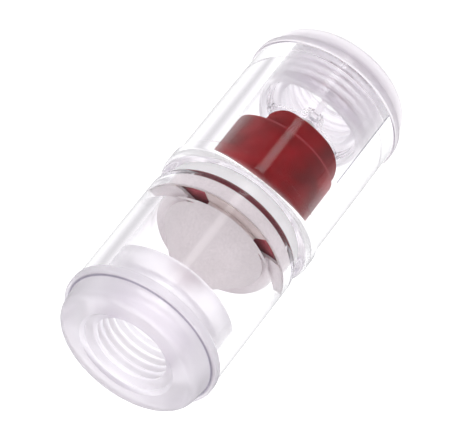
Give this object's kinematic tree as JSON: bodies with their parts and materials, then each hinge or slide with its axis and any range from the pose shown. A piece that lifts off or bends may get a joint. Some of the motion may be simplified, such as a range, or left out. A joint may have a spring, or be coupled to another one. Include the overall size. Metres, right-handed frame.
{
  "type": "impeller flow indicator",
  "caption": "Clear in-line sight tube with an internally threaded fitting in each end, a frosted flow cone and a red drum-shaped impeller that turns to show liquid flow.",
  "frame": {"origin": "centre of the outlet end's front face, on which the part stands, on the tube axis", "axes": "+Z along the tube axis from the outlet end to the inlet end; the side seen in the picture faces -Y"},
  "size_m": [0.0246, 0.0246, 0.0581],
  "materials": {
    "milky_plastic": "milky translucent moulded plastic, satin",
    "clear_plastic": "clear polished moulded plastic",
    "frosted_plastic": "fine frosted translucent plastic",
    "red_plastic": "dark red moulded plastic, semi-gloss",
    "steel": "ground stainless pin",
    "white_washer": "white low-friction plastic",
    "bearing_plastic": "white low-friction moulded plastic",
    "seal_rubber": "milky translucent silicone"
  },
  "bodies": {
    "housing": {"inlet_fitting": "milky_plastic", "outlet_fitting": "milky_plastic", "inlet_housing": "clear_plastic", "outlet_housing": "clear_plastic", "joint_seal": "seal_rubber", "flow_cone": "frosted_plastic", "outlet_bearing": "bearing_plastic"},
    "rotor": {"rotor": "red_plastic", "rotor_drum": "red_plastic", "axle": "steel", "inlet_washer": "white_washer", "outlet_washer": "white_washer"}
  },
  "joints": [
    {"name": "rotor_spin", "type": "hinge", "parent": "housing", "child": "rotor", "pos_m": [0, 0, 0.025], "axis": [0, 0, 1], "continuous": true}
  ]
}
